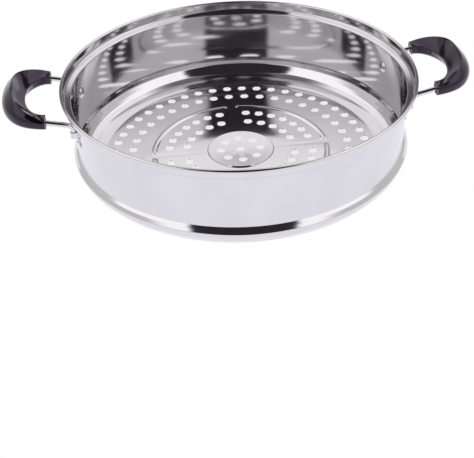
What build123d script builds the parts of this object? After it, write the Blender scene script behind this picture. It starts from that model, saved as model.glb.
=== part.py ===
# Steamer pot: one perforated stacking tier of stainless steel with two wire side handles.
# Frame: origin at the centre of the floor's underside, +Z up, +X along the line through both handles.
import os
from math import asin, cos, degrees, radians, sin, sqrt

from build123d import *

# Rim and lid recess
rim_radius = 145.0
rim_height = 75.2
sheet = 0.6
bead_radius = 1.4
recess_depth = 8.1
ledge_width = 5.6
ledge_drop = 2.4
ledge_bend = 1.4

# Spigot collar that drops into the recess of a like tier, and the flare above it
spigot_clearance = 2.2
spigot_foot = 10.4
spigot_height = 4.7
spigot_bend = 0.9
groove_depth = 0.8
groove_half = 1.0
groove_bend = 0.7
flare_height = 9.6
flare_bend = 7.0
flare_share = (0.36, 0.42)

# Turn from the collar in to the floor, each run measured inwards and each rise downwards
collar_run = 2.2
neck_run = 3.4
neck_rise = 3.0
neck_bend = 1.6
turn_run = 4.6
turn_rise = 1.8
turn_bend = 4.5
slope_run = 10.2
slope_rise = 2.4
slope_bend = 1.6
floor_bend = 6.0

# Pressed forms of the floor, as shares of the flat floor's radius: raised disc, four arc beads
disc_share = 0.2605
disc_rise = 1.0
disc_step = 1.2
disc_bend = 0.6
arc_bead_share = 0.63
arc_bead_width = 5.0
arc_bead_rise = 1.0
arc_bead_gap_angle = 8.0

# Steam holes from the outer ring inwards: ring radii as shares of the flat floor's radius,
# spaces between holes in a quarter turn, and whether the quadrant lines stay clear
steam_hole_diameter = 7.6
ring_shares = (0.92, 0.79, 0.525, 0.397, 0.1455)
ring_space_counts = (12, 10, 8, 6, 2)
ring_lines_clear = (False, False, True, True, False)

# Handle wire
wire_diameter = 4.3
wire_drop = 10.9
wire_wall_gap = 0.5
leg_spacing = 73.8
wall_bend_radius = 5.0
wire_inset = 9.7
wire_corner_share = 0.31
wire_flat_share = 0.43
wire_bend_radius = 20.0

# Moulded grip: plan outline round the wire
grip_offset = 11.4
grip_leg_length = 1.2
grip_inner_reach = 16.0
grip_width = 18.7
leg_cover_inside = 5.5
leg_cover_outside = 6.4
grip_inner_power = 2.1
grip_outer_power = 2.42

# Section of the grip: heights over the wire's axis at the leg ends, and their rise to the middle
grip_edge = 0.8
inner_height = 4.5
inner_rise = 0.7
ridge_height = 2.6
ridge_rise = 16.2
ridge_inset = 9.6
shoulder_height = -0.7
shoulder_rise = 9.1
belly_height = -2.4
belly_rise = 3.2
belly_inset = 0.4
underside_height = -3.8
underside_inset = 3.0
underside_taper = 5.5
inner_draft = 5.5
swell_power = 0.77
grip_bore_gap = 0.1
grip_station_angles = (-90, -80, -68, -54, -38, -20, 0, 20, 38, 54, 68, 80, 90)

# Bracket on the wall and its rivet, heights counted down from the wire's axis
bracket_sheet = 0.8
bracket_width = 12.0
bracket_top_drop = 3.2
bracket_height = 14.6
waist_depth = 1.8
waist_radius = 5.0
socket_wall = 0.8
socket_gap = 0.1
socket_height = 4.8
socket_floor = 0.6
rivet_drop = 13.6
rivet_shank_diameter = 4.6
rivet_hole_gap = 0.05
rivet_head_diameter = 9.6
rivet_head_height = 2.2
rivet_outer_diameter = 6.2
rivet_outer_height = 1.2
dome_share = (0.72, 0.55)

cut_overrun = 5.0

# Derived radii and heights of the body
recess_radius = rim_radius - 2 * bead_radius
wall_radius = recess_radius - ledge_width
wall_outer = wall_radius + sheet
ledge_height = rim_height - recess_depth
bead_height = rim_height - bead_radius
spigot_radius = recess_radius - spigot_clearance
spigot_inner = spigot_radius - sheet
spigot_top = spigot_foot + spigot_height
groove_height = spigot_top + groove_half
flare_top = groove_height + flare_height
neck_radius = spigot_inner - collar_run
turn_radius = neck_radius - neck_run
slope_radius = turn_radius - turn_run
floor_radius = slope_radius - slope_run
slope_height = sheet + slope_rise
turn_height = slope_height + turn_rise
neck_height = turn_height + neck_rise
disc_radius = disc_share * floor_radius
disc_top = sheet + disc_rise
arc_bead_radius = arc_bead_share * floor_radius
quadrants = (0, 90, 180, 270)

# Derived places of the handles
wire_radius = wire_diameter / 2
wire_height = rim_height - wire_drop
leg_offset = leg_spacing / 2
grip_centre = rim_radius + grip_offset
grip_outer_reach = grip_inner_reach + grip_width
grip_inner_half = leg_offset - leg_cover_inside
grip_outer_half = leg_offset + leg_cover_outside
wire_reach = grip_inner_reach + wire_inset
socket_radius = wall_outer + wire_wall_gap + wire_radius
leg_angle = degrees(asin(leg_offset / socket_radius))
leg_start = sqrt(socket_radius**2 - leg_offset**2)
bracket_top = wire_height - bracket_top_drop
bracket_foot = bracket_top - bracket_height
socket_top = wire_height - wall_bend_radius
socket_foot = socket_top - socket_height
wire_end = socket_foot + socket_floor
rivet_height = wire_height - rivet_drop
plate_outer = wall_outer + bracket_sheet
bracket_places = {
    "right_rear": leg_angle,
    "right_front": -leg_angle,
    "left_rear": 180 - leg_angle,
    "left_front": 180 + leg_angle,
}


def radial_plane(angle, height):
    """Plane square to the wall's radius at this azimuth, with its origin on the axis."""
    turn = radians(angle)
    return Plane(
        origin=(0, 0, height),
        x_dir=(-sin(turn), cos(turn), 0),
        z_dir=(cos(turn), sin(turn), 0),
    )


def upright_plane(angle, centre=0, height=0):
    """Upright plane at this azimuth through a centre on the X axis: local x outwards, y up."""
    turn = radians(angle)
    return Plane(
        origin=(centre, 0, height),
        x_dir=(cos(turn), sin(turn), 0),
        z_dir=(sin(turn), -cos(turn), 0),
    )


# Tier body: the food side of the sheet as one line, given its thickness outwards
with BuildPart() as steamer_body:
    with BuildSketch(Plane.XZ):
        with BuildLine():
            bowl_line = FilletPolyline(
                (0, disc_top),
                (disc_radius, disc_top),
                (disc_radius + disc_step, sheet),
                (floor_radius, sheet),
                (slope_radius, slope_height),
                (turn_radius, turn_height),
                (neck_radius, neck_height),
                (spigot_inner, spigot_foot),
                (spigot_inner, spigot_top),
                (spigot_inner - groove_depth, groove_height),
                (spigot_inner, groove_height + groove_half),
                (
                    wall_radius + flare_share[0] * (spigot_inner - wall_radius),
                    groove_height + flare_share[1] * flare_height,
                ),
                (wall_radius, flare_top),
                (wall_radius, ledge_height - ledge_drop),
                (recess_radius, ledge_height),
                (recess_radius, bead_height),
                radius=[
                    disc_bend, disc_bend, floor_bend, slope_bend, turn_bend, neck_bend,
                    spigot_bend, groove_bend, groove_bend, groove_bend, flare_bend,
                    flare_bend, ledge_bend, ledge_bend,
                ],
            )
            JernArc(start=bowl_line @ 1, tangent=bowl_line % 1, radius=bead_radius, arc_size=-270)
            offset(amount=sheet, side=Side.RIGHT)
        make_face()
    revolve(axis=Axis.Z)

    # Arc beads pressed up from below, one in each quadrant
    for quadrant in quadrants:
        for base, mode in ((sheet, Mode.ADD), (0, Mode.SUBTRACT)):
            with BuildSketch(upright_plane(quadrant + arc_bead_gap_angle / 2)):
                with BuildLine():
                    inner_end = (arc_bead_radius - arc_bead_width / 2, base)
                    outer_end = (arc_bead_radius + arc_bead_width / 2, base)
                    crown = (arc_bead_radius, base + arc_bead_rise)
                    ThreePointArc(inner_end, crown, outer_end)
                    Line(outer_end, inner_end)
                make_face()
            revolve(axis=Axis.Z, revolution_arc=90 - arc_bead_gap_angle, mode=mode)

    # Steam holes
    with BuildSketch(Plane.XY.offset(-cut_overrun)):
        Circle(steam_hole_diameter / 2)
        for ring_share, spaces, lines_clear in zip(
            ring_shares, ring_space_counts, ring_lines_clear
        ):
            pitch_angle = 90 / spaces
            for quadrant in quadrants:
                first = quadrant + (pitch_angle if lines_clear else 0)
                count = spaces - (1 if lines_clear else 0)
                with PolarLocations(ring_share * floor_radius, count, first, count * pitch_angle):
                    Circle(steam_hole_diameter / 2)
    extrude(amount=2 * cut_overrun + disc_top, mode=Mode.SUBTRACT)

    # Rivet holes through the wall
    for place in bracket_places.values():
        with BuildSketch(radial_plane(place, rivet_height).offset(wall_radius - cut_overrun)):
            Circle(rivet_shank_diameter / 2 + rivet_hole_gap)
        extrude(amount=2 * cut_overrun, mode=Mode.SUBTRACT)

# Handle wire: down into both sockets, out along the legs and round inside the grip
with BuildPart() as right_handle_wire:
    with BuildLine():
        half_route = [
            (leg_start, leg_offset, wire_end),
            (leg_start, leg_offset, wire_height),
            (grip_centre + wire_corner_share * wire_reach, leg_offset, wire_height),
            (grip_centre + wire_reach, wire_flat_share * leg_offset, wire_height),
        ]
        wire_route = FilletPolyline(
            *half_route,
            *[(x, -y, z) for x, y, z in reversed(half_route)],
            radius=[
                wall_bend_radius, wire_bend_radius, wire_bend_radius,
                wire_bend_radius, wire_bend_radius, wall_bend_radius,
            ],
        )
    with BuildSketch(Plane(origin=wire_route @ 0, z_dir=wire_route % 0)):
        Circle(wire_radius)
    sweep(path=wire_route)

# Channel that the wire takes up inside the grip, a little wider than the wire
with BuildPart() as grip_channel:
    with BuildSketch(Plane(origin=wire_route @ 0, z_dir=wire_route % 0)):
        Circle(wire_radius + grip_bore_gap)
    sweep(path=wire_route)


def plan_reach(reach, half_width, power, angle):
    """Distance from the grip's centre to a rounded outline, along this azimuth."""
    along = abs(cos(radians(angle)) / reach) ** power
    across = abs(sin(radians(angle)) / half_width) ** power
    return (along + across) ** (-1 / power)


def grip_section(angle):
    """Corners of the grip's section at this azimuth: distance outwards, height over the wire."""
    inner = plan_reach(grip_inner_reach, grip_inner_half, grip_inner_power, angle)
    outer = plan_reach(grip_outer_reach, grip_outer_half, grip_outer_power, angle)
    swell = abs(cos(radians(angle))) ** swell_power
    inner_top = inner_height + inner_rise * swell
    inner_foot = inner + inner_draft * swell
    outer_foot = outer - belly_inset - underside_inset - underside_taper * swell
    return [
        (inner, inner_top - grip_edge),
        (inner + grip_edge, inner_top),
        (outer - grip_edge - ridge_inset * swell, ridge_height + ridge_rise * swell),
        (outer, shoulder_height + shoulder_rise * swell),
        (outer - belly_inset, belly_height + belly_rise * swell),
        (outer_foot, underside_height),
        (inner_foot + grip_edge, underside_height),
        (inner_foot, underside_height + grip_edge),
    ]


# Grip: sections round the bow of the handle, closed by straight leg ends
with BuildPart() as right_handle_grip:
    leg_end = grip_centre - grip_leg_length
    stations = [(leg_end, grip_station_angles[0])]
    stations += [(grip_centre, angle) for angle in grip_station_angles]
    stations += [(leg_end, grip_station_angles[-1])]
    for centre, angle in stations:
        with BuildSketch(upright_plane(angle, centre, wire_height)):
            with BuildLine():
                Polyline(*grip_section(angle), close=True)
            make_face()
    loft()
    add(grip_channel.part, mode=Mode.SUBTRACT)

# Bracket: a waisted plate on the wall with a blind socket for the end of the wire
with BuildPart() as bracket:
    with BuildSketch(Plane.XY.offset(bracket_foot)):
        Circle(plate_outer)
        with Locations((plate_outer, 0)):
            Rectangle(2 * cut_overrun, bracket_width, mode=Mode.INTERSECT)
    extrude(amount=bracket_height)
    with BuildSketch(radial_plane(0, (socket_foot + rivet_height) / 2)):
        with Locations((bracket_width / 2 + waist_radius - waist_depth, 0),
                       (waist_depth - waist_radius - bracket_width / 2, 0)):
            Circle(waist_radius)
    extrude(amount=plate_outer + cut_overrun, mode=Mode.SUBTRACT)
    with BuildSketch(Plane.XY.offset(socket_foot)):
        with Locations((socket_radius, 0)):
            Circle(wire_radius + socket_gap + socket_wall)
        with Locations(((wall_outer + socket_radius) / 2, 0)):
            Rectangle(socket_radius - wall_outer, 2 * (wire_radius + socket_gap + socket_wall))
    extrude(amount=socket_height)
    with BuildSketch(Plane.XY.offset(wire_end)):
        with Locations((socket_radius, 0)):
            Circle(wire_radius + socket_gap)
    extrude(amount=bracket_top - wire_end, mode=Mode.SUBTRACT)
    with BuildSketch(Plane.XY.offset(bracket_foot)):
        Circle(wall_outer)
    extrude(amount=bracket_height, mode=Mode.SUBTRACT)
    with BuildSketch(radial_plane(0, rivet_height)):
        Circle(rivet_shank_diameter / 2 + rivet_hole_gap)
    extrude(amount=plate_outer + cut_overrun, mode=Mode.SUBTRACT)

# Rivet: domed head inside the pot, shank through wall and plate, low head outside
with BuildPart() as rivet:
    with BuildSketch(Plane.XZ):
        for face, tip, head_radius in (
            (wall_radius, wall_radius - rivet_head_height, rivet_head_diameter / 2),
            (plate_outer, plate_outer + rivet_outer_height, rivet_outer_diameter / 2),
        ):
            with BuildLine():
                crown = (tip, rivet_height)
                rim = (face, rivet_height + head_radius)
                shoulder = (
                    face + dome_share[0] * (tip - face),
                    rivet_height + dome_share[1] * head_radius,
                )
                ThreePointArc(crown, shoulder, rim)
                Polyline(rim, (wall_outer, rivet_height + head_radius), (wall_outer, rivet_height))
                Line((wall_outer, rivet_height), crown)
            make_face()
    revolve(axis=Axis((0, 0, rivet_height), (1, 0, 0)))
    with BuildSketch(Plane.XY.offset(rivet_height - rivet_head_diameter)):
        Circle(plate_outer)
        Circle(wall_radius, mode=Mode.SUBTRACT)
    extrude(amount=2 * rivet_head_diameter, mode=Mode.SUBTRACT)
    with BuildSketch(radial_plane(0, rivet_height).offset(wall_radius - rivet_head_height / 2)):
        Circle(rivet_shank_diameter / 2)
    extrude(amount=plate_outer - wall_radius + (rivet_head_height + rivet_outer_height) / 2)

# Every piece at its own place, under its own name
pieces = {"steamer_body": steamer_body.part}
for side, turn in (("right", 0), ("left", 180)):
    pieces[f"{side}_handle_wire"] = right_handle_wire.part.rotate(Axis.Z, turn)
    pieces[f"{side}_handle_grip"] = right_handle_grip.part.rotate(Axis.Z, turn)
for place, turn in bracket_places.items():
    pieces[f"{place}_bracket"] = bracket.part.rotate(Axis.Z, turn)
    pieces[f"{place}_rivet"] = rivet.part.rotate(Axis.Z, turn)

os.makedirs("parts", exist_ok=True)
for name, piece in pieces.items():
    piece.label = name
    export_step(piece, f"parts/{name}.step")
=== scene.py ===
import bmesh
import bpy
from math import atan2, cos, degrees, hypot, pi, radians, sin, sqrt, tan
from mathutils import Matrix, Vector


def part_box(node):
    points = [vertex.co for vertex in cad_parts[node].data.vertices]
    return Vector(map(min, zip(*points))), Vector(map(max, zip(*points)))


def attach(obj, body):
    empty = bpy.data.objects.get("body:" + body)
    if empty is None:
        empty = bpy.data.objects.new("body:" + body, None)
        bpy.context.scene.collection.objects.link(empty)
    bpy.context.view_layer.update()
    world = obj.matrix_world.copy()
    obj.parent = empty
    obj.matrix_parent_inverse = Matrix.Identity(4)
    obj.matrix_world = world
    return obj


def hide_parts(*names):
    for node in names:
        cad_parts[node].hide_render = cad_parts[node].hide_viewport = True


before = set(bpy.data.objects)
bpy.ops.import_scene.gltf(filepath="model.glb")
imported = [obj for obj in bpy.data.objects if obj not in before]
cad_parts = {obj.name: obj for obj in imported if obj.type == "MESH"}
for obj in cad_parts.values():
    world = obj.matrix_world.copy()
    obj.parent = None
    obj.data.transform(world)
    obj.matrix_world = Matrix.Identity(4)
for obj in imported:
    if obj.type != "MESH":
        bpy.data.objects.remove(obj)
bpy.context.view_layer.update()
print("frame loaded:", len(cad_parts), "nodes")

mm = 0.001
samePlace = 0.01 * mm
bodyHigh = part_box("steamer_body")[1]
rimRadius = bodyHigh.x
rimHeight = bodyHigh.z


def clearSelection():
    for obj in list(bpy.context.selected_objects):
        obj.select_set(False)


def takeNew(name):  # the piece that an operator has just added, under its own name
    obj = bpy.context.object
    obj.name = name
    obj.data.name = name
    return obj


def makeActive(obj):
    clearSelection()
    obj.select_set(True)
    bpy.context.view_layer.objects.active = obj


def pick(kind, test):  # selects the vertices, edges or faces that pass the test
    mesh = bmesh.from_edit_mesh(bpy.context.object.data)
    bpy.ops.mesh.select_mode(type={"verts": "VERT", "edges": "EDGE", "faces": "FACE"}[kind])
    bpy.ops.mesh.select_all(action="DESELECT")
    for element in getattr(mesh, kind):
        if test(element):
            element.select_set(True)
    mesh.select_flush_mode()
    bmesh.update_edit_mesh(bpy.context.object.data)


def pickVertAt(place):
    mesh = bmesh.from_edit_mesh(bpy.context.object.data)
    nearest = min(mesh.verts, key=lambda vert: (vert.co - place).length)
    pick("verts", lambda vert: vert == nearest)


def applyModifier(obj, kind, **settings):
    makeActive(obj)
    modifier = obj.modifiers.new(kind.lower(), kind)
    for name, value in settings.items():
        setattr(modifier, name, value)
    bpy.ops.object.modifier_apply(modifier=modifier.name)


def smoothBy(obj, angle):
    makeActive(obj)
    bpy.ops.object.shade_smooth_by_angle(angle=radians(angle))
    applyModifier(obj, "WEIGHTED_NORMAL", keep_sharp=True, weight=60)


def seat(obj, material, nodes):  # finish, place on the frame and CAD nodes it stands for
    makeActive(obj)
    bpy.ops.object.transform_apply(location=True, rotation=True, scale=True)
    obj.data.materials.clear()
    obj.data.materials.append(material)
    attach(obj, "root")
    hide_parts(*nodes)


class Shade:  # a node's output socket that can stand in sums
    def __init__(self, tree, socket=None):
        self.tree = tree
        self.socket = socket

    def make(self, kind, settings=None, inputs=None, output=0):
        node = self.tree.nodes.new(kind)
        for name, value in (settings or {}).items():
            if name == "stops":
                ramp = node.color_ramp
                while len(ramp.elements) < len(value):
                    ramp.elements.new(0.5)
                for element, (place, colour) in zip(ramp.elements, value):
                    element.position = place
                    element.color = colour
            else:
                setattr(node, name, value)
        for name, value in (inputs or {}).items():
            if isinstance(value, Shade):
                self.tree.links.new(value.socket, node.inputs[name])
            else:
                node.inputs[name].default_value = value
        return Shade(self.tree, node.outputs[output])

    def sum(self, operation, first, second):
        return self.make("ShaderNodeMath", {"operation": operation}, {0: first, 1: second})

    def __add__(self, other):
        return self.sum("ADD", self, other)

    def __radd__(self, other):
        return self.sum("ADD", other, self)

    def __sub__(self, other):
        return self.sum("SUBTRACT", self, other)

    def __rsub__(self, other):
        return self.sum("SUBTRACT", other, self)

    def __mul__(self, other):
        return self.sum("MULTIPLY", self, other)

    def __truediv__(self, other):
        return self.sum("DIVIDE", self, other)

    def between(self, low, high):  # 0 below low, 1 above high, smooth in between
        return self.make(
            "ShaderNodeMapRange",
            {"interpolation_type": "SMOOTHSTEP"},
            {"Value": self, "From Min": low, "From Max": high},
        )

    def mix(self, factor, first, second):
        settings = {"data_type": "RGBA"}
        return self.make("ShaderNodeMix", settings, {0: factor, 6: first, 7: second}, output=2)


def newMaterial(name):
    material = bpy.data.materials.new(name)
    material.use_nodes = True
    material.node_tree.nodes.clear()
    return material, Shade(material.node_tree)


def setSurface(tree, shader):
    output = tree.tree.nodes.new("ShaderNodeOutputMaterial")
    tree.tree.links.new(shader.socket, output.inputs["Surface"])


# Studio: camera, white floor, and a room with pale walls, a grey ceiling and a dark gap overhead
camera = {
    "imageSize": (474, 458),
    "focalPixels": 837.9,
    "distance": 783.3 * mm,
    "elevation": 37.95,
    "azimuth": -5.36,  # turn of the view round the pot, away from the line through its handles
    "roll": -2.29,
    "target": (-6.02 * mm, 0, -87.4 * mm),
}
studio = {
    "floorSize": 3,
    "floorGap": 0.1 * mm,  # keeps the floor off the pot's flat underside
    "floorColour": (0.88, 0.88, 0.9, 1),
    "mirroredColour": (1.03, 1.03, 1.1, 1),
    "mirroredGlow": 0.85,  # how much of the floor's mirror image is this even colour
    "underPot": (100 * mm, 135 * mm),  # the floor's shade under the pot fades out over these radii
    "underShade": 0.3,
    "backWall": (0.98, 0.975, 0.995, 1),
    "sideWall": (1.22, 1.21, 1.24, 1),
    "lowWall": (0.66, 0.64, 0.65, 1),
    "wallFoot": (-8, 29),  # elevation where the wall starts: at the sides, and at the back
    "wallFootSoftness": 2,
    "dimFrom": (10, 15),  # the dark strip under the back wall ends at these elevations
    "wallRise": (28, 34),  # elevations between which the low wall turns into the full one
    "ceiling": (0.2, 0.188, 0.2, 1),
    "ceilingFrom": (57, 67),
    "backdropFrom": (0.55, 0.8),  # cosine of the turn from straight back where the back wall starts
    "dim": (0.1, 0.092, 0.1, 1),
    "opening": (0.028, 0.024, 0.03, 1),
    "gapSoftness": 0.03,
    # half width of the dark gap along its arch, from the horizon at the camera over to the back
    "gapHalfWidths": [
        (0.0, (0.1, 0.1, 0.1, 1)),
        (0.135, (0.42, 0.42, 0.42, 1)),
        (0.17, (0.36, 0.36, 0.36, 1)),
        (0.21, (0.48, 0.48, 0.48, 1)),
        (0.28, (0.56, 0.56, 0.56, 1)),
        (0.36, (0.44, 0.44, 0.44, 1)),
        (0.5, (0.15, 0.15, 0.15, 1)),
        (0.64, (0.13, 0.13, 0.13, 1)),
        (0.7, (0.0, 0.0, 0.0, 1)),
    ],
}


def addCamera():
    bpy.ops.object.camera_add()
    obj = takeNew("camera")
    turn = Matrix.Rotation(radians(camera["azimuth"]), 3, "Z")
    lift = radians(camera["elevation"])
    lean = radians(camera["roll"])
    back = Vector((0, -cos(lift), sin(lift)))
    up = Vector((0, sin(lift), cos(lift)))
    right = Vector((1, 0, 0))
    side = right * cos(lean) + up * sin(lean)
    top = up * cos(lean) - right * sin(lean)
    place = turn @ (Vector(camera["target"]) + back * camera["distance"])
    axes = turn @ Matrix((side, top, back)).transposed()
    obj.matrix_world = Matrix.Translation(place) @ axes.to_4x4()
    obj.data.sensor_width = 36
    obj.data.lens = camera["focalPixels"] / camera["imageSize"][0] * obj.data.sensor_width
    obj.data.clip_start = 0.01
    bpy.context.scene.camera = obj


def addFloor():
    clearSelection()
    bpy.ops.mesh.primitive_plane_add(size=studio["floorSize"], location=(0, 0, -studio["floorGap"]))
    obj = takeNew("floor")
    material, tree = newMaterial("paper white")
    paper = tree.make("ShaderNodeBsdfDiffuse", None, {"Color": studio["floorColour"]})
    plain = tree.make("ShaderNodeEmission", None, {"Color": (1, 1, 1, 1), "Strength": 1.0})
    cool = tree.make("ShaderNodeEmission", None, {"Color": studio["mirroredColour"], "Strength": 1.0})
    where = tree.make("ShaderNodeTexCoord", output="Object")
    away = tree.make("ShaderNodeVectorMath", {"operation": "LENGTH"}, {0: where}, output=1)
    shade = (1 - away.between(*studio["underPot"])) * studio["underShade"]
    seen = tree.make("ShaderNodeLightPath", output="Is Camera Ray")
    mirrored = tree.make("ShaderNodeLightPath", output="Is Glossy Ray")
    glow = tree.make("ShaderNodeMixShader", None, {0: seen, 1: cool, 2: plain})
    share = seen * (1 - shade) + mirrored * studio["mirroredGlow"]
    setSurface(tree, tree.make("ShaderNodeMixShader", None, {0: share, 1: paper, 2: glow}))
    obj.data.materials.append(material)


def addRoom():
    world = bpy.data.worlds.new("white room")
    bpy.context.scene.world = world
    world.use_nodes = True
    world.node_tree.nodes.clear()
    tree = Shade(world.node_tree)
    towards = radians(camera["azimuth"] - 90)
    where = tree.make("ShaderNodeTexCoord", output="Generated")
    turned = tree.make(
        "ShaderNodeVectorRotate",
        {"rotation_type": "Z_AXIS"},
        {"Vector": where, "Angle": -towards},
    )
    ahead = tree.make("ShaderNodeSeparateXYZ", None, {0: turned}, output=0)
    aside = tree.make("ShaderNodeSeparateXYZ", None, {0: turned}, output=1)
    height = tree.make("ShaderNodeSeparateXYZ", None, {0: turned}, output=2)
    lift = tree.make("ShaderNodeMath", {"operation": "ARCSINE"}, {0: height})
    arch = tree.make("ShaderNodeMath", {"operation": "ARCTAN2"}, {0: height, 1: ahead})
    half = tree.make("ShaderNodeValToRGB", {"stops": studio["gapHalfWidths"]}, {0: arch / pi})
    offLine = tree.make("ShaderNodeMath", {"operation": "ABSOLUTE"}, {0: aside})
    soft = studio["gapSoftness"]
    gap = 1 - offLine.between(half - 2 * soft, half)
    level = tree.make("ShaderNodeMath", {"operation": "SQRT"}, {0: 1.0001 - height * height})
    behind = (0 - ahead / level).between(*studio["backdropFrom"])
    low, high = studio["wallFoot"]
    foot = radians(low) + behind * radians(high - low)
    footSoft = radians(studio["wallFootSoftness"])
    under = 1 - lift.between(*[radians(angle) for angle in studio["dimFrom"]])
    lit = lift.between(foot - footSoft, foot + footSoft) + under
    rise = lift.between(*[radians(angle) for angle in studio["wallRise"]])
    full = tree.mix(behind, studio["sideWall"], studio["backWall"])
    over = lift.between(*[radians(angle) for angle in studio["ceilingFrom"]])
    wall = tree.mix(over, tree.mix(rise, studio["lowWall"], full), studio["ceiling"])
    colour = tree.mix(gap, tree.mix(lit, studio["dim"], wall), studio["opening"])
    room = tree.make("ShaderNodeBackground", None, {"Color": colour, "Strength": 1.0})
    white = tree.make("ShaderNodeBackground", None, {"Color": (1, 1, 1, 1), "Strength": 1.0})
    seen = tree.make("ShaderNodeLightPath", output="Is Camera Ray")
    shown = tree.make("ShaderNodeMixShader", None, {0: seen, 1: room, 2: white})
    output = tree.tree.nodes.new("ShaderNodeOutputWorld")
    tree.tree.links.new(shown.socket, output.inputs["Surface"])


def addStudio():
    addCamera()
    addFloor()
    addRoom()
    bpy.context.scene.view_settings.view_transform = "Standard"
    print("studio set")


# Materials
steel = {
    "colour": (0.765, 0.75, 0.76, 1),
    "tint": (0.735, 0.72, 0.73, 1),
    "tintBetween": (0.35, 0.7),
    "patchScale": 30,
    "roughness": 0.075,
    "roughnessSpread": 0.03,
    "dullBetween": (0.4, 0.8),
    "wave": 0.3,
    "waveScale": 14,
    "waveDepth": 0.4 * mm,
    "waveBelow": (3 * mm, 12 * mm),
}
wireSteel = dict(steel, roughness=0.08, wave=0.1)
bakelite = {
    "colour": (0.006, 0.003, 0.008, 1),
    "bloom": (0.013, 0.007, 0.017, 1),
    "bloomBetween": (0.3, 0.75),
    "cloudScale": 60,
    "sheen": (0.9, 0.72, 1.0, 1),
    "refraction": 1.6,
    "roughness": 0.09,
    "roughnessSpread": 0.04,
    "grainScale": 420,
    "ripple": 0.04,
    "rippleDepth": 0.3 * mm,
}


def steelMaterial(name, look):  # polished sheet: slight waves low in the pot, faint dull patches
    material, tree = newMaterial(name)
    where = tree.make("ShaderNodeTexCoord", output="Object")
    waves = tree.make(
        "ShaderNodeTexNoise", None, {"Vector": where, "Scale": look["waveScale"], "Detail": 1.5}
    )
    patches = tree.make(
        "ShaderNodeTexNoise", None, {"Vector": where, "Scale": look["patchScale"], "Detail": 3}
    )
    height = tree.make("ShaderNodeSeparateXYZ", None, {0: where}, output=2)
    low = 1 - height.between(*look["waveBelow"])
    waved = tree.make(
        "ShaderNodeBump",
        None,
        {"Strength": look["wave"], "Distance": look["waveDepth"], "Height": waves * low},
    )
    colour = tree.mix(patches.between(*look["tintBetween"]), look["colour"], look["tint"])
    roughness = look["roughness"] + patches.between(*look["dullBetween"]) * look["roughnessSpread"]
    shader = tree.make(
        "ShaderNodeBsdfPrincipled",
        None,
        {"Base Color": colour, "Metallic": 1.0, "Roughness": roughness, "Normal": waved},
    )
    setSurface(tree, shader)
    return material


def bakeliteMaterial(name, look):
    material, tree = newMaterial(name)
    where = tree.make("ShaderNodeTexCoord", output="Object")
    clouds = tree.make(
        "ShaderNodeTexNoise", None, {"Vector": where, "Scale": look["cloudScale"], "Detail": 3}
    )
    grain = tree.make(
        "ShaderNodeTexNoise", None, {"Vector": where, "Scale": look["grainScale"], "Detail": 2}
    )
    colour = tree.mix(clouds.between(*look["bloomBetween"]), look["colour"], look["bloom"])
    roughness = look["roughness"] + grain * look["roughnessSpread"]
    ripple = tree.make(
        "ShaderNodeBump",
        None,
        {"Strength": look["ripple"], "Distance": look["rippleDepth"], "Height": clouds},
    )
    shader = tree.make(
        "ShaderNodeBsdfPrincipled",
        None,
        {
            "Base Color": colour,
            "Roughness": roughness,
            "Normal": ripple,
            "IOR": look["refraction"],
            "Specular Tint": look["sheen"],
        },
    )
    setSurface(tree, shader)
    return material


# Tier body: its profile is drawn on the food side, rounded, spun and given its thickness
body = {
    "sheet": 0.6 * mm,
    "beadRadius": 1.4 * mm,
    "beadTurn": 270,
    "beadSteps": 27,
    "recessDepth": 8.1 * mm,
    "ledgeWidth": 5.6 * mm,
    "ledgeDrop": 1.3 * mm,
    "ledgeBend": 1.4 * mm,
    "collarClearance": 2.2 * mm,
    "collarFoot": 12.0 * mm,
    "collarBend": 3.0 * mm,
    # steps out from the collar, each with its height
    "shoulder": [(1.1 * mm, 15.3 * mm), (1.25 * mm, 16.5 * mm), (-0.7 * mm, 18.9 * mm)],
    "shoulderBend": 0.6 * mm,
    "flareTop": 20.8 * mm,
    "flareBend": 0.5 * mm,
    "collarRun": 2.9 * mm,
    "neckRun": 2.3 * mm,
    "neckRise": 2.9 * mm,
    "neckBend": 2.0 * mm,
    "turnRun": 5.0 * mm,
    "turnRise": 2.3 * mm,
    "turnBend": 4.5 * mm,
    "slopeRun": 10.2 * mm,
    "slopeRise": 2.2 * mm,
    "slopeBend": 3.0 * mm,
    "floorBend": 6.0 * mm,
    "discShare": 0.237,  # of the flat floor's radius
    "discFlat": 0.4,  # share of the disc that stays flat in its dish
    "discRise": 1.0 * mm,
    "discDish": 0.5 * mm,
    "discStep": 0.7 * mm,
    "discBend": 0.25 * mm,
    "discRing": 2.0 * mm,
    "bendStep": 7,  # degrees of a bend to one segment
    "spinSteps": 256,
    "weld": 0.005 * mm,
    "smoothAngle": 32,
}
floorMarks = {
    "beadShare": 0.63,  # of the flat floor's radius
    "beadWidth": 5.0 * mm,
    "beadRise": 1.0 * mm,
    "beadGap": 8,  # degrees between the ends of two beads
    "beadRings": (-1.8, -1, -0.75, -0.5, -0.25, 0, 0.25, 0.5, 0.75, 1),  # in half widths
    "nearRing": 0.05 * mm,
    "creaseDepth": 0.04 * mm,
    "creaseShares": (1.0, 0.45),  # depth on the crease's own line and on the lines beside it
    "creaseMargin": 1.0 * mm,
}
steamHoles = {
    "radius": 3.8 * mm,
    "lip": 0.2 * mm,
    "lipSpread": 4,
    "punchDepth": 3.0 * mm,
    "sides": 28,
    "ringShares": (0.92, 0.79, 0.525, 0.397, 0.1455),
    "ringSpaces": (12, 10, 8, 6, 2),
    "linesClear": (False, False, True, True, False),
}


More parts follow.
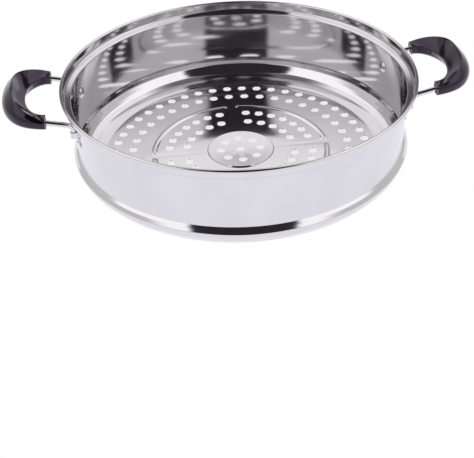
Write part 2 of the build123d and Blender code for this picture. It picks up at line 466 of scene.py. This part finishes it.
def bodyCorners():  # each with its radius and height and the bend that rounds it
    recess = rimRadius - 2 * body["beadRadius"]
    wall = recess - body["ledgeWidth"]
    ledge = rimHeight - body["recessDepth"]
    collar = recess - body["collarClearance"] - body["sheet"]
    neck = collar - body["collarRun"]
    turn = neck - body["neckRun"]
    slope = turn - body["turnRun"]
    floor = slope - body["slopeRun"]
    slopeTop = body["sheet"] + body["slopeRise"]
    turnTop = slopeTop + body["turnRise"]
    disc = body["discShare"] * floor
    discTop = body["sheet"] + body["discRise"]
    return floor, [
        (0, discTop - body["discDish"], 0),
        (body["discFlat"] * disc, discTop - body["discDish"], 0),
        (disc, discTop, body["discBend"]),
        (disc + body["discStep"], body["sheet"], body["discBend"]),
        (disc + body["discStep"] + body["discRing"], body["sheet"], 0),
        *[(radius, body["sheet"], 0) for radius in beadRings(floorMarks["beadShare"] * floor)],
        (floor, body["sheet"], body["floorBend"]),
        (slope, slopeTop, body["slopeBend"]),
        (turn, turnTop, body["turnBend"]),
        (neck, turnTop + body["neckRise"], body["neckBend"]),
        (collar, body["collarFoot"], body["collarBend"]),
        *[(collar + reach, height, body["shoulderBend"]) for reach, height in body["shoulder"]],
        (wall, body["flareTop"], body["flareBend"]),
        (wall, ledge - body["ledgeDrop"], body["ledgeBend"]),
        (recess, ledge, body["ledgeBend"]),
        (recess, rimHeight - body["beadRadius"], 0),
    ]


def drawLine(points):  # one vertex, extruded from point to point
    clearSelection()
    bpy.ops.mesh.primitive_plane_add(size=mm)
    bpy.ops.object.mode_set(mode="EDIT")
    bpy.ops.mesh.select_mode(type="VERT")
    bpy.ops.mesh.select_all(action="SELECT")
    bpy.ops.mesh.merge(type="CENTER")
    bpy.ops.transform.translate(value=points[0])
    for before, after in zip(points, points[1:]):
        step = after - before
        bpy.ops.mesh.extrude_vertices_move(TRANSFORM_OT_translate={"value": step})


def roundCorner(before, corner, after, radius, segments):
    turn = (corner - before).angle(after - corner)
    pickVertAt(corner)
    bpy.ops.mesh.bevel(
        offset_type="OFFSET",
        offset=radius * tan(turn / 2),
        segments=segments,
        profile=0.5,
        affect="VERTICES",
    )


def makeBody():
    floor, corners = bodyCorners()
    points = [Vector((radius, 0, height)) for radius, height, bend in corners]
    drawLine(points)
    obj = takeNew("tier_body")
    for index, (radius, height, bend) in enumerate(corners):
        if bend:
            near = points[index - 1:index + 2]
            turn = (near[1] - near[0]).angle(near[2] - near[1])
            roundCorner(*near, bend, max(3, round(degrees(turn) / body["bendStep"])))
    pickVertAt(points[-1])  # the bead rolls outwards from the top of the recess
    bead = points[-1] + Vector((body["beadRadius"], 0, 0))
    roll = radians(body["beadTurn"])
    bpy.ops.mesh.spin(steps=body["beadSteps"], angle=roll, center=bead, axis=(0, -1, 0))
    bpy.ops.mesh.select_all(action="SELECT")
    bpy.ops.mesh.spin(steps=body["spinSteps"], angle=2 * pi, center=(0, 0, 0), axis=(0, 0, 1))
    bpy.ops.mesh.select_all(action="SELECT")
    bpy.ops.mesh.remove_doubles(threshold=body["weld"])
    bpy.ops.mesh.normals_make_consistent(inside=False)
    mesh = bmesh.from_edit_mesh(obj.data)
    lowest = min(mesh.faces, key=lambda face: hypot(*face.calc_center_median().xy))
    if lowest.normal.z < 0:  # the food side faces up, so that the sheet thickens outwards
        bpy.ops.mesh.flip_normals()
    pressBeads(floor)
    bpy.ops.object.mode_set(mode="OBJECT")
    applyModifier(obj, "SOLIDIFY", thickness=body["sheet"], offset=-1, use_even_offset=True)
    pressCreases(obj, floor)
    cutter = holeCutter(floor)
    applyModifier(obj, "BOOLEAN", object=cutter, operation="DIFFERENCE", solver="EXACT")
    bpy.data.objects.remove(cutter)
    return obj


def quarterOffset(place):  # angle from the nearest of the four quadrant lines, in degrees
    angle = degrees(atan2(place.y, place.x)) % 90
    return min(angle, 90 - angle)


def pressBeads(floor):  # four arc beads pressed up from below, one in each quadrant
    middle = floorMarks["beadShare"] * floor
    for radius in beadRings(middle)[1:]:
        pick(
            "verts",
            lambda vert: abs(hypot(vert.co.x, vert.co.y) - radius) < floorMarks["nearRing"]
            and quarterOffset(vert.co) > floorMarks["beadGap"] / 2,
        )
        bpy.ops.transform.translate(value=(0, 0, beadHeight(radius - middle)))


def pressCreases(obj, floor):  # shallow lines on the food side, from the disc out to the beads' gaps
    margin = floorMarks["creaseMargin"]
    inner = body["discShare"] * floor + body["discStep"] + margin
    outer = floorMarks["beadShare"] * floor - floorMarks["beadWidth"] / 2 - margin
    step = 360 / body["spinSteps"]
    makeActive(obj)
    bpy.ops.object.mode_set(mode="EDIT")
    for spaces, share in enumerate(floorMarks["creaseShares"]):
        pick(
            "verts",
            lambda vert: inner < hypot(vert.co.x, vert.co.y) < outer
            and abs(quarterOffset(vert.co) - spaces * step) < step / 4
            and vert.co.z > 0.5 * body["sheet"],
        )
        bpy.ops.transform.translate(value=(0, 0, -share * floorMarks["creaseDepth"]))
    bpy.ops.object.mode_set(mode="OBJECT")


def beadRings(middle):
    half = floorMarks["beadWidth"] / 2
    return [middle + half * share for share in floorMarks["beadRings"]]


def beadHeight(offset):  # height of a circular crown over its chord
    half = floorMarks["beadWidth"] / 2
    rise = floorMarks["beadRise"]
    crown = (half * half + rise * rise) / (2 * rise)
    return sqrt(crown * crown - offset * offset) - crown + rise


def addHoleCutter(place, surface):  # a punch with a small countersink at the food side
    radius = steamHoles["radius"]
    lip = steamHoles["lip"]
    spread = steamHoles["lipSpread"] * lip
    foot = -steamHoles["punchDepth"]
    top = surface - lip
    bpy.ops.mesh.primitive_cylinder_add(
        vertices=steamHoles["sides"],
        radius=radius,
        depth=top - foot,
        location=(place.x, place.y, (top + foot) / 2),
    )
    obj = takeNew("punch")
    bpy.ops.object.mode_set(mode="EDIT")
    pick("faces", lambda face: face.normal.z > 0.9)
    bpy.ops.mesh.extrude_region_move(TRANSFORM_OT_translate={"value": (0, 0, spread)})
    bpy.ops.transform.resize(value=((radius + spread) / radius,) * 2 + (1,))
    bpy.ops.object.mode_set(mode="OBJECT")
    return obj


def holePlaces(floor):  # (azimuth, ring radius) of every steam hole
    rings = zip(steamHoles["ringShares"], steamHoles["ringSpaces"], steamHoles["linesClear"])
    for share, spaces, clear in rings:
        for quarter in range(4):
            for space in range(1 if clear else 0, spaces):
                yield radians(90 * quarter + 90 * space / spaces), share * floor


def holeCutter(floor):
    disc = body["discShare"] * floor
    flat = addHoleCutter(Vector((0, 0, 0)), body["sheet"])
    raised = addHoleCutter(Vector((0, 0, 0)), body["sheet"] + body["discRise"])
    punches = [raised]
    for angle, radius in holePlaces(floor):
        punch = (raised if radius < disc else flat).copy()
        punch.data = punch.data.copy()
        punch.data.transform(Matrix.Translation((radius * cos(angle), radius * sin(angle), 0)))
        bpy.context.scene.collection.objects.link(punch)
        punches.append(punch)
    bpy.data.objects.remove(flat)
    clearSelection()
    for punch in punches:
        punch.select_set(True)
    bpy.context.view_layer.objects.active = raised
    bpy.ops.object.transform_apply(location=True)
    bpy.ops.object.join()
    print("holes to punch:", len(punches))
    return raised


# Grips: rings of points round the bow of the handle, bridged, subdivided and creased
grip = {
    "centre": rimRadius + 11.4 * mm,
    "legLength": 1.2 * mm,
    "innerReach": 16.0 * mm,
    "width": 18.7 * mm,
    "legOffset": 36.9 * mm,
    "coverInside": 5.5 * mm,
    "coverOutside": 6.4 * mm,
    "innerPower": 2.1,
    "outerPower": 2.42,
    "swellPower": 0.77,
    "wireDrop": 10.9 * mm,
    # heights over the wire, insets and swellings: at the leg ends, and at the middle of the bow
    "innerTop": (4.5 * mm, 5.2 * mm),
    "ridge": (4.1 * mm, 18.8 * mm),
    "ridgeInset": (0.8 * mm, 10.4 * mm),
    "shoulder": (1.4 * mm, 8.4 * mm),
    "belly": (-2.4 * mm, 0.8 * mm),
    "foot": (-3.8 * mm, -3.8 * mm),
    "footInset": (3.4 * mm, 8.9 * mm),
    "draft": (0, 5.5 * mm),
    "dish": (0.5 * mm, 1.0 * mm),
    "bulge": (0.2 * mm, 0.8 * mm),
    "dishLean": (0.6, -1),
    "lowerLean": (0.7, -0.7),
    "bellyInset": 0.2 * mm,
    "startRadius": 5.0 * mm,
    "endLip": 0.5 * mm,
    "ridgeCrease": 0.5,
    "innerCrease": 0.45,
    "endCrease": 0.7,
    "smoothAngle": 60,
    "stations": (-90, -84, -76, -66, -55, -42, -28, -14, 0, 14, 28, 42, 55, 66, 76, 84, 90),
}


def gripReach(reach, half, power, angle):
    along = abs(cos(angle) / reach) ** power
    across = abs(sin(angle) / half) ** power
    return (along + across) ** (-1 / power)


def gripSection(angle):  # (distance outwards, height over the wire), from the inner foot round
    swell = abs(cos(angle)) ** grip["swellPower"]

    def part(name):
        low, high = grip[name]
        return low + (high - low) * swell

    innerHalf = grip["legOffset"] - grip["coverInside"]
    outerHalf = grip["legOffset"] + grip["coverOutside"]
    inner = gripReach(grip["innerReach"], innerHalf, grip["innerPower"], angle)
    outerMid = grip["innerReach"] + grip["width"]
    outer = gripReach(outerMid, outerHalf, grip["outerPower"], angle)
    innerTop = Vector((inner, part("innerTop")))
    ridge = Vector((outer - part("ridgeInset"), part("ridge")))
    shoulder = Vector((outer, part("shoulder")))
    belly = Vector((outer - grip["bellyInset"], part("belly")))
    outerFoot = Vector((outer - part("footInset"), part("foot")))
    innerFoot = Vector((inner + part("draft"), part("foot")))
    innerWall = (innerTop + innerFoot) / 2
    topMiddle = (innerTop + ridge) / 2
    topMiddle += Vector(grip["dishLean"]) * part("dish")
    face = (ridge + shoulder) / 2 + Vector((1, 1)) * part("bulge") / 2
    lower = (belly + outerFoot) / 2 + Vector(grip["lowerLean"]) * part("bulge") / 2
    return [innerFoot, innerWall, innerTop, topMiddle, ridge, face, shoulder, belly, lower, outerFoot]


def gripPoint(centre, angle, point):
    height = rimHeight - grip["wireDrop"] + point.y
    return Vector((centre + point.x * cos(angle), point.x * sin(angle), height))


def makeGrip(name):
    first = radians(grip["stations"][0])
    legEnd = grip["centre"] - grip["legLength"]
    rings = [(legEnd, first)]
    rings += [(grip["centre"], radians(angle)) for angle in grip["stations"]]
    rings += [(legEnd, -first)]
    count = len(gripSection(0))
    clearSelection()
    bpy.ops.mesh.primitive_circle_add(
        vertices=count, radius=grip["startRadius"], fill_type="NOTHING"
    )
    obj = takeNew(name)
    bpy.ops.object.mode_set(mode="EDIT")
    bpy.ops.mesh.select_mode(type="EDGE")
    bpy.ops.mesh.select_all(action="SELECT")
    before = None
    for centre, angle in rings:
        if before:
            bpy.ops.mesh.extrude_edges_move()
        mesh = bmesh.from_edit_mesh(obj.data)
        ring = [vert for vert in mesh.verts if vert.select]
        places = [gripPoint(centre, angle, point) for point in gripSection(angle)]
        for index, vert in enumerate(ring):
            old = min(range(count), key=lambda i: (before[i] - vert.co).length) if before else index
            vert.co = places[old]
        before = places
        bmesh.update_edit_mesh(obj.data)
    for side in (-1, 1):  # both leg ends are closed and get a small raised lip
        pick("edges", lambda edge: edge.is_boundary and edge.verts[0].co.y * side > 0)
        bpy.ops.mesh.edge_face_add()
        bpy.ops.mesh.inset(thickness=grip["endLip"])
        bpy.ops.mesh.inset(thickness=grip["endLip"], depth=-grip["endLip"])
    bpy.ops.mesh.select_all(action="SELECT")
    bpy.ops.mesh.normals_make_consistent(inside=False)
    creaseGrip()
    bpy.ops.object.mode_set(mode="OBJECT")
    applyModifier(obj, "SUBSURF", levels=3, render_levels=3)
    return obj


def creaseGrip():  # the ridge, the inner edge and the leg ends keep part of their sharpness
    ridgeCorner, innerCorner = 4, 2
    for corner, crease in ((ridgeCorner, "ridgeCrease"), (innerCorner, "innerCrease")):
        wanted = {frozenset(pair) for pair in lengthwise(corner)}
        pick("edges", lambda edge: frozenset(roundedPlace(vert.co) for vert in edge.verts) in wanted)
        bpy.ops.transform.edge_crease(value=grip[crease])
    legEnd = grip["centre"] - grip["legLength"]
    pick("edges", lambda edge: all(abs(vert.co.x - legEnd) < samePlace for vert in edge.verts))
    bpy.ops.transform.edge_crease(value=grip["endCrease"])


def roundedPlace(place):
    return tuple(round(value / samePlace) for value in place)


def lengthwise(corner):  # the two ends of every edge that runs along the bow at this corner
    angles = [radians(angle) for angle in grip["stations"]]
    line = [gripPoint(grip["centre"], angle, gripSection(angle)[corner]) for angle in angles]
    leg = Vector((grip["legLength"], 0, 0))
    line = [line[0] - leg, *line, line[-1] - leg]
    places = [roundedPlace(place) for place in line]
    return list(zip(places, places[1:]))


# Handle wires: out of the wall sockets, up along both legs and round inside the grip
wire = {
    "radius": 2.15 * mm,
    "wallDistance": 134.9 * mm,
    "legOffset": 36.9 * mm,
    "end": 50.2 * mm,
    "wallHeight": 59.7 * mm,
    "gripHeight": 64.3 * mm,
    "cornerDistance": 164.4 * mm,
    "bowDistance": 182.1 * mm,
    "bowOffset": 15.9 * mm,
    "wallBend": 5.0 * mm,
    "legBend": 8.0 * mm,
    "bowBend": 13.0 * mm,
    "bendSegments": 8,
    "smoothAngle": 40,
}


def makeWire(name):
    legEnd = grip["centre"] - grip["legLength"]
    half = [
        (wire["wallDistance"], wire["legOffset"], wire["end"], 0),
        (wire["wallDistance"], wire["legOffset"], wire["wallHeight"], wire["wallBend"]),
        (legEnd, wire["legOffset"], wire["gripHeight"], wire["legBend"]),
        (wire["cornerDistance"], wire["legOffset"], wire["gripHeight"], wire["bowBend"]),
        (wire["bowDistance"], wire["bowOffset"], wire["gripHeight"], wire["bowBend"]),
    ]
    route = half + [(x, -y, z, bend) for x, y, z, bend in reversed(half)]
    points = [Vector(corner[:3]) for corner in route]
    drawLine(points)
    obj = takeNew(name)
    for index, corner in enumerate(route):
        if corner[3]:
            roundCorner(*points[index - 1:index + 2], corner[3], wire["bendSegments"])
    bpy.ops.object.mode_set(mode="OBJECT")
    makeActive(obj)
    bpy.ops.object.convert(target="CURVE")
    obj.data.bevel_depth = wire["radius"]
    obj.data.bevel_resolution = 6
    obj.data.use_fill_caps = True
    bpy.ops.object.convert(target="MESH")
    return obj


# Brackets and rivets: the CAD's own forms, let down to where the sloping wire meets the wall
fall = {"bracket": 5.0 * mm, "rivet": 2.0 * mm}
fitting = {"weld": 0.002 * mm, "smoothAngle": 35}


def lowerFitting(node, kind):
    piece = node.copy()
    piece.data = node.data.copy()
    piece.name = node.name + "_low"
    piece.data.name = piece.name
    bpy.context.scene.collection.objects.link(piece)
    piece.data.transform(Matrix.Translation((0, 0, -fall[kind])))
    makeActive(piece)
    bpy.ops.object.mode_set(mode="EDIT")
    bpy.ops.mesh.select_all(action="SELECT")
    bpy.ops.mesh.remove_doubles(threshold=fitting["weld"])
    bpy.ops.mesh.normals_make_consistent(inside=False)
    bpy.ops.object.mode_set(mode="OBJECT")
    smoothBy(piece, fitting["smoothAngle"])
    return piece


def copyTurned(obj, name, angle):  # a copy with its own mesh, turned about the pot's axis
    twin = obj.copy()
    twin.data = obj.data.copy()
    twin.name = name
    twin.data.name = name
    twin.data.transform(Matrix.Rotation(radians(angle), 4, "Z"))
    bpy.context.scene.collection.objects.link(twin)
    return twin


def main():
    addStudio()
    sheetSteel = steelMaterial("polished sheet steel", steel)
    rodSteel = steelMaterial("polished wire", wireSteel)
    plastic = bakeliteMaterial("gloss black bakelite", bakelite)
    tier = makeBody()
    smoothBy(tier, body["smoothAngle"])
    seat(tier, sheetSteel, ["steamer_body"])
    print("body spun and punched:", len(tier.data.polygons), "faces")
    rightGrip = makeGrip("right_grip")
    leftGrip = copyTurned(rightGrip, "left_grip", 180)
    for piece, node in ((rightGrip, "right_handle_grip"), (leftGrip, "left_handle_grip")):
        smoothBy(piece, grip["smoothAngle"])
        seat(piece, plastic, [node])
    print("grips shaped")
    rightWire = makeWire("right_wire")
    leftWire = copyTurned(rightWire, "left_wire", 180)
    for piece, node in ((rightWire, "right_handle_wire"), (leftWire, "left_handle_wire")):
        smoothBy(piece, wire["smoothAngle"])
        seat(piece, rodSteel, [node])
    print("wires bent")
    for name, node in list(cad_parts.items()):
        kind = name.split("_")[-1]
        if kind in fall:
            seat(lowerFitting(node, kind), rodSteel, [name])
    print("brackets and rivets seated")


main()
